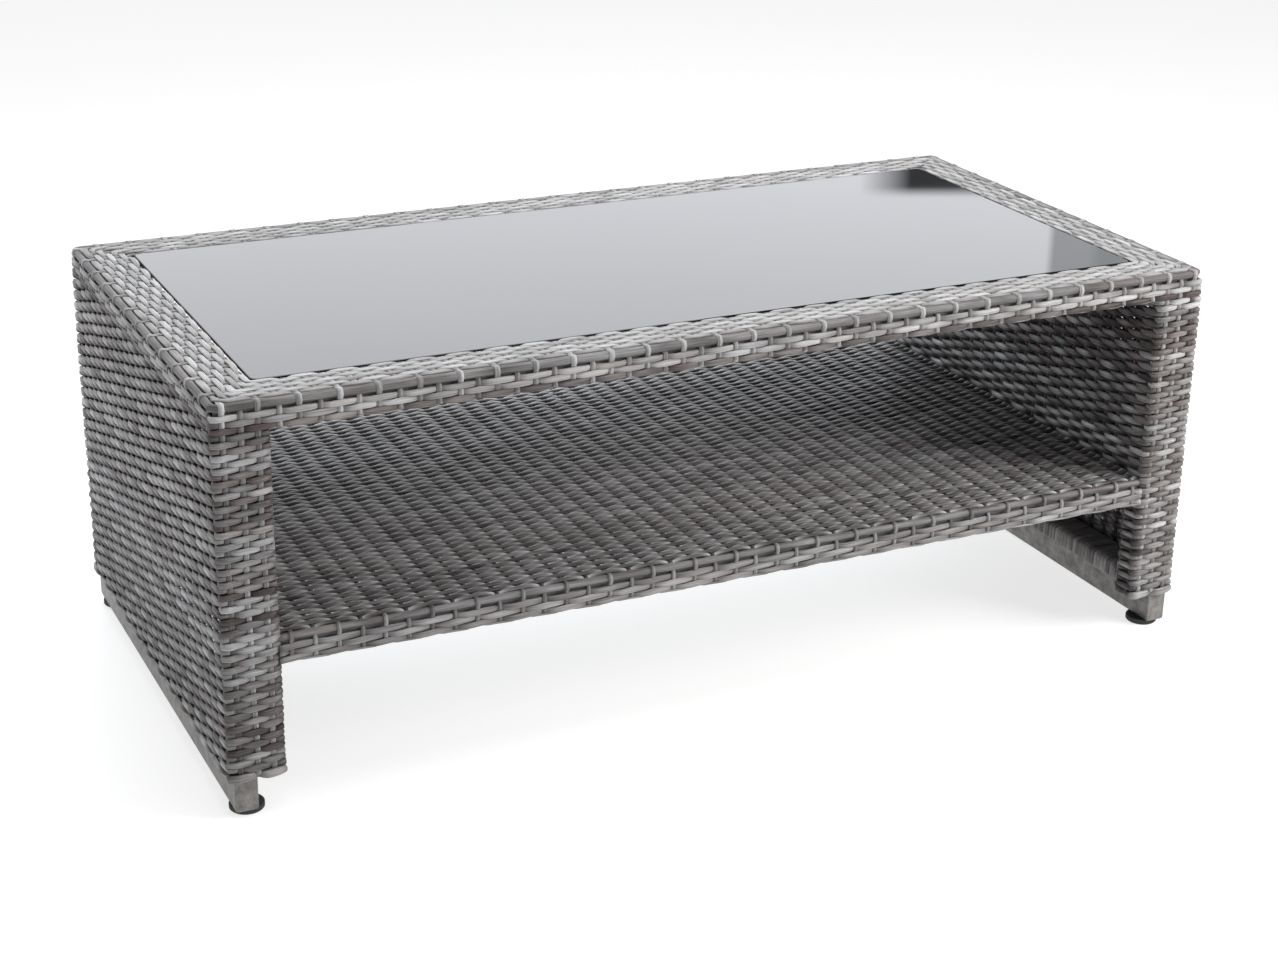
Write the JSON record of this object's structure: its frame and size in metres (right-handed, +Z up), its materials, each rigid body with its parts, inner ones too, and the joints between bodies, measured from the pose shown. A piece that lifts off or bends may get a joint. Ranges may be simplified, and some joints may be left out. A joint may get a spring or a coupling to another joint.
{
  "type": "wicker coffee table",
  "caption": "Rectangular woven wicker coffee table with an inset glass top, an open lower shelf, closed woven ends and sled feet on screw-in glides.",
  "frame": {"origin": "on the floor, under the middle of the table", "axes": "+X along the table to the right, +Y from the front edge to the back edge, +Z up"},
  "size_m": [1.2, 0.6, 0.46],
  "materials": {
    "wicker": "mixed grey half-round synthetic rattan strand, lengthwise ridges, low sheen",
    "frame_aluminium": "grey powder coat",
    "bare_aluminium": "dull, mill finish",
    "glass": "dark opaque toughened glass with a polished face",
    "bumper": "soft silicone",
    "black_plastic": "black moulded plastic",
    "plated_steel": "zinc plated"
  },
  "bodies": {
    "frame": {"border_wicker_back": "wicker", "border_wicker_front": "wicker", "border_wicker_left": "wicker", "border_wicker_right": "wicker", "bottom_rail_left": "frame_aluminium", "bottom_rail_right": "frame_aluminium", "bottom_rail_wicker_left": "wicker", "bottom_rail_wicker_right": "wicker", "end_panel_left": "wicker", "end_panel_right": "wicker", "glass_bearers": "frame_aluminium", "glass_bumpers": "bumper", "glide_inserts": "plated_steel", "inner_panel_left": "wicker", "inner_panel_right": "wicker", "inner_post_left_back": "frame_aluminium", "inner_post_left_front": "frame_aluminium", "inner_post_right_back": "frame_aluminium", "inner_post_right_front": "frame_aluminium", "leg_wicker_left_back": "wicker", "leg_wicker_left_front": "wicker", "leg_wicker_right_back": "wicker", "leg_wicker_right_front": "wicker", "outer_post_left_back": "frame_aluminium", "outer_post_left_front": "frame_aluminium", "outer_post_right_back": "frame_aluminium", "outer_post_right_front": "frame_aluminium", "post_plugs": "black_plastic", "shelf_bolts": "plated_steel", "shelf_crossbar": "frame_aluminium", "shelf_deck": "wicker", "shelf_rail_back": "frame_aluminium", "shelf_rail_front": "frame_aluminium", "shelf_rail_left": "frame_aluminium", "shelf_rail_right": "frame_aluminium", "shelf_rivet_nuts": "plated_steel", "shelf_support_rail_left": "frame_aluminium", "shelf_support_rail_right": "frame_aluminium", "shelf_wicker_back": "wicker", "shelf_wicker_front": "wicker", "sled_end_plates": "bare_aluminium", "sled_rail_left": "bare_aluminium", "sled_rail_right": "bare_aluminium", "top_inner_rail_back": "frame_aluminium", "top_inner_rail_front": "frame_aluminium", "top_inner_rail_left": "frame_aluminium", "top_inner_rail_right": "frame_aluminium", "top_outer_rail_back": "frame_aluminium", "top_outer_rail_front": "frame_aluminium", "top_outer_rail_left": "frame_aluminium", "top_outer_rail_right": "frame_aluminium"},
    "glass": {"glass_top": "glass"},
    "glide_stud_left_front": {"glide_stud_left_front": "plated_steel"},
    "glide_base_left_front": {"glide_base_left_front": "black_plastic"},
    "glide_stud_left_back": {"glide_stud_left_back": "plated_steel"},
    "glide_base_left_back": {"glide_base_left_back": "black_plastic"},
    "glide_stud_right_front": {"glide_stud_right_front": "plated_steel"},
    "glide_base_right_front": {"glide_base_right_front": "black_plastic"},
    "glide_stud_right_back": {"glide_stud_right_back": "plated_steel"},
    "glide_base_right_back": {"glide_base_right_back": "black_plastic"}
  },
  "joints": [
    {"name": "glass_lift", "type": "slide", "parent": "frame", "child": "glass", "axis": [0, 0, 1], "range_m": [0, 0.06]},
    {"name": "glide_travel_left_front", "type": "slide", "parent": "frame", "child": "glide_stud_left_front", "axis": [0, 0, -1], "range_m": [0, 0.008]},
    {"name": "glide_turn_left_front", "type": "hinge", "parent": "glide_stud_left_front", "child": "glide_base_left_front", "pos_m": [-0.578, -0.278, 0.003], "axis": [0, 0, -1], "range_deg": [0, 2304]},
    {"name": "glide_travel_left_back", "type": "slide", "parent": "frame", "child": "glide_stud_left_back", "axis": [0, 0, -1], "range_m": [0, 0.008]},
    {"name": "glide_turn_left_back", "type": "hinge", "parent": "glide_stud_left_back", "child": "glide_base_left_back", "pos_m": [-0.578, 0.278, 0.003], "axis": [0, 0, -1], "range_deg": [0, 2304]},
    {"name": "glide_travel_right_front", "type": "slide", "parent": "frame", "child": "glide_stud_right_front", "axis": [0, 0, -1], "range_m": [0, 0.008]},
    {"name": "glide_turn_right_front", "type": "hinge", "parent": "glide_stud_right_front", "child": "glide_base_right_front", "pos_m": [0.578, -0.278, 0.003], "axis": [0, 0, -1], "range_deg": [0, 2304]},
    {"name": "glide_travel_right_back", "type": "slide", "parent": "frame", "child": "glide_stud_right_back", "axis": [0, 0, -1], "range_m": [0, 0.008]},
    {"name": "glide_turn_right_back", "type": "hinge", "parent": "glide_stud_right_back", "child": "glide_base_right_back", "pos_m": [0.578, 0.278, 0.003], "axis": [0, 0, -1], "range_deg": [0, 2304]}
  ],
  "couplings": [
    {"joint": "glide_travel_left_front", "follows": "glide_turn_left_front", "m_per_rad": 0.00019894},
    {"joint": "glide_travel_left_back", "follows": "glide_turn_left_back", "m_per_rad": 0.00019894},
    {"joint": "glide_travel_right_front", "follows": "glide_turn_right_front", "m_per_rad": 0.00019894},
    {"joint": "glide_travel_right_back", "follows": "glide_turn_right_back", "m_per_rad": 0.00019894}
  ]
}
